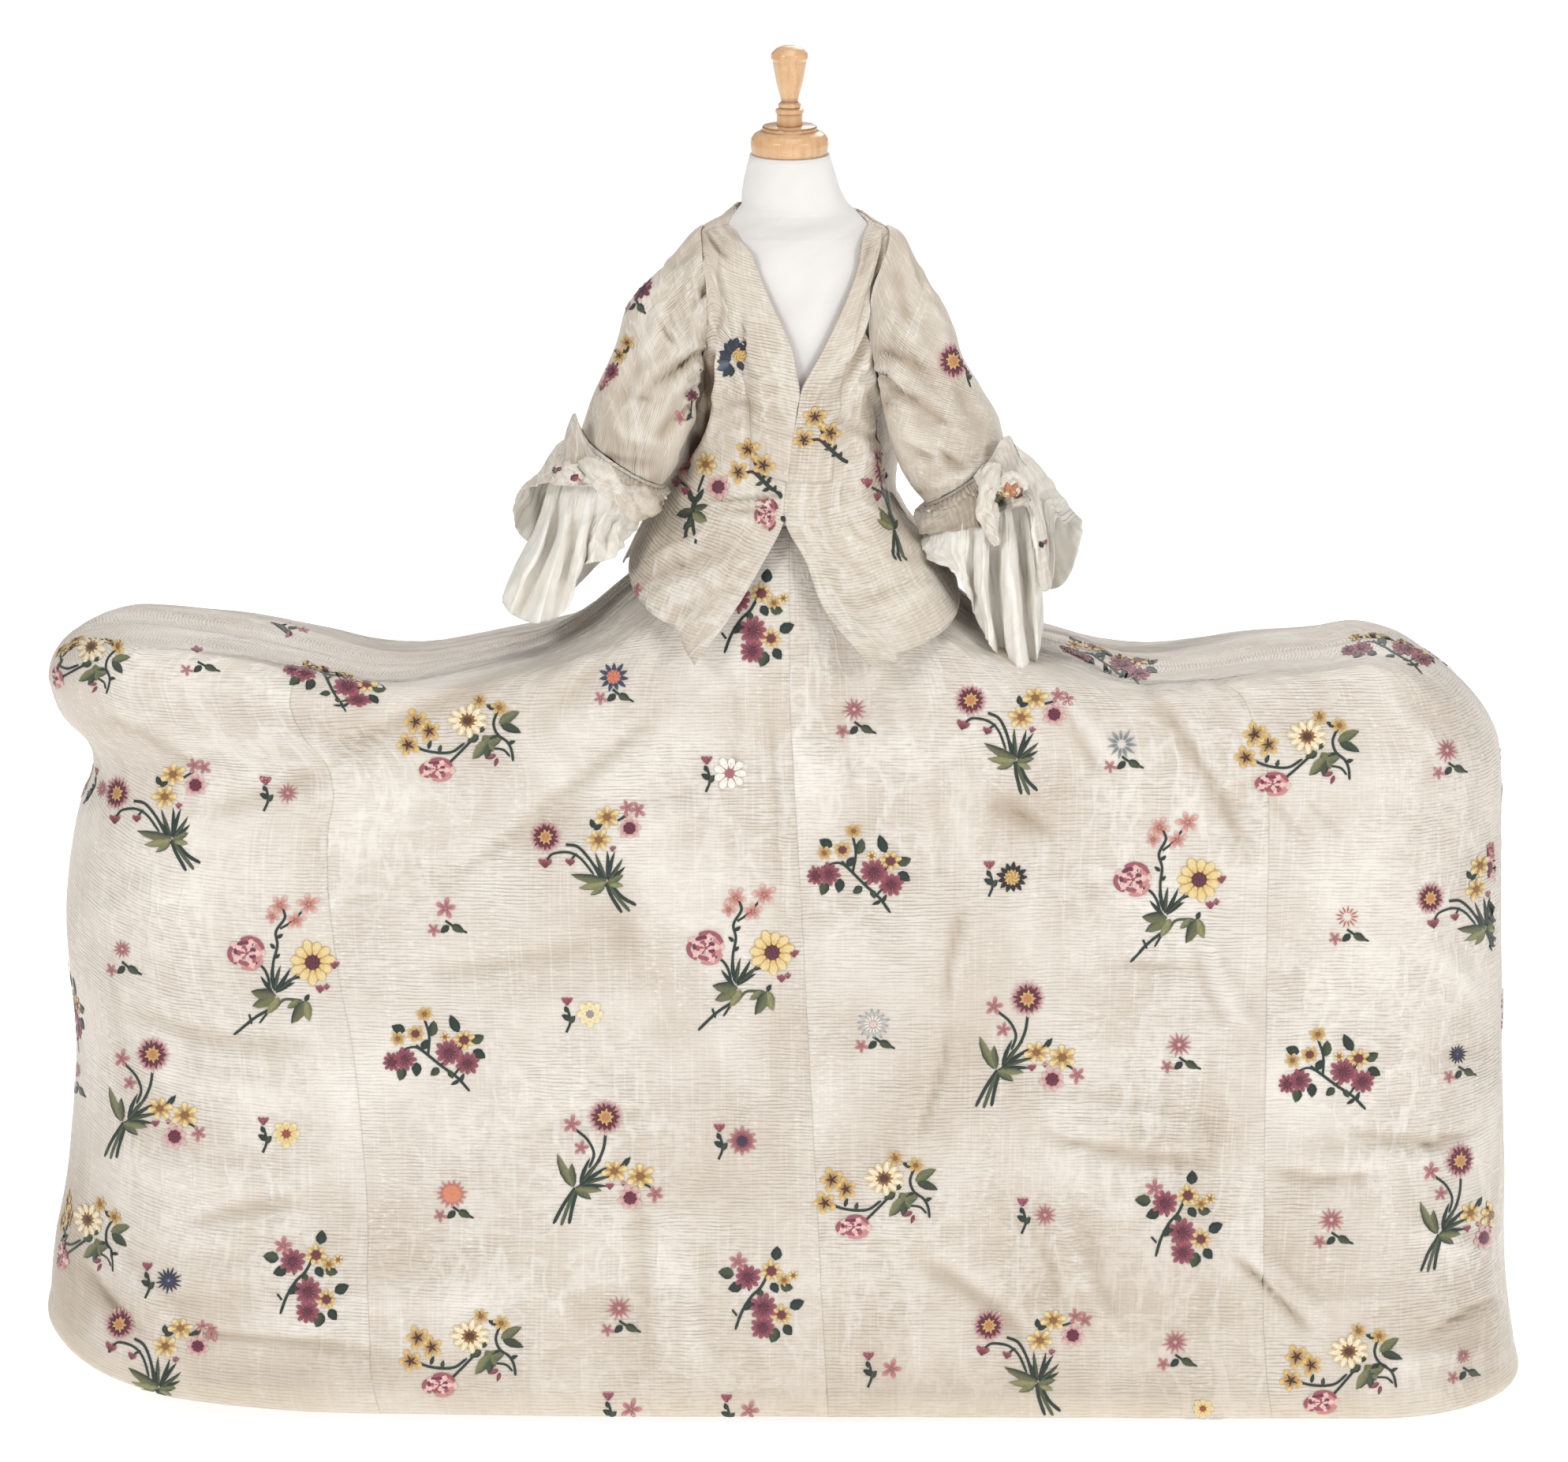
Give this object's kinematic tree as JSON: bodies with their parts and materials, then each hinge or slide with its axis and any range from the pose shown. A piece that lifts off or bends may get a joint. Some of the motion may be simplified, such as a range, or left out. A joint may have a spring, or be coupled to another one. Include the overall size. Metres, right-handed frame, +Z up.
{
  "type": "robe à la française with a dress form on a stand",
  "caption": "Eighteenth-century sack-backed gown with elbow flounces and a very wide petticoat, worn by a limbless dress form on a stand.",
  "frame": {"origin": "centre of the underside of the stand's base, on the floor", "axes": "+Z up the stand's pole; -Y is the gown's front; +X is to the right as seen from the front, the side of the wearer's left arm; the petticoat's width lies along X"},
  "size_m": [1.7388, 0.49, 1.57],
  "materials": {
    "ribbed_silk": "cross-ribbed silk with a soft sheen, scattered with flower sprigs",
    "white_ruffle": "fine matte white cotton or linen",
    "white_jersey": "smooth matte white jersey",
    "turned_wood": "satin turned wood",
    "painted_stand": "satin pale grey paint"
  },
  "bodies": {
    "root": {"cuff_left": "ribbed_silk", "cuff_right": "ribbed_silk", "finial": "turned_wood", "flounce_left": "ribbed_silk", "flounce_right": "ribbed_silk", "form_body": "white_jersey", "jacket_back": "ribbed_silk", "jacket_front_left": "ribbed_silk", "jacket_front_right": "ribbed_silk", "neck_cap": "turned_wood", "petticoat_back_left": "ribbed_silk", "petticoat_back_right": "ribbed_silk", "petticoat_front_left": "ribbed_silk", "petticoat_front_right": "ribbed_silk", "petticoat_side_back_left": "ribbed_silk", "petticoat_side_back_right": "ribbed_silk", "petticoat_side_front_left": "ribbed_silk", "petticoat_side_front_right": "ribbed_silk", "petticoat_waistband": "white_ruffle", "robing_left": "ribbed_silk", "robing_right": "ribbed_silk", "ruffle_left": "white_ruffle", "ruffle_right": "white_ruffle", "sleeve_left": "ribbed_silk", "sleeve_right": "ribbed_silk", "stand_base": "painted_stand", "stand_pole": "painted_stand"}
  },
  "joints": []
}
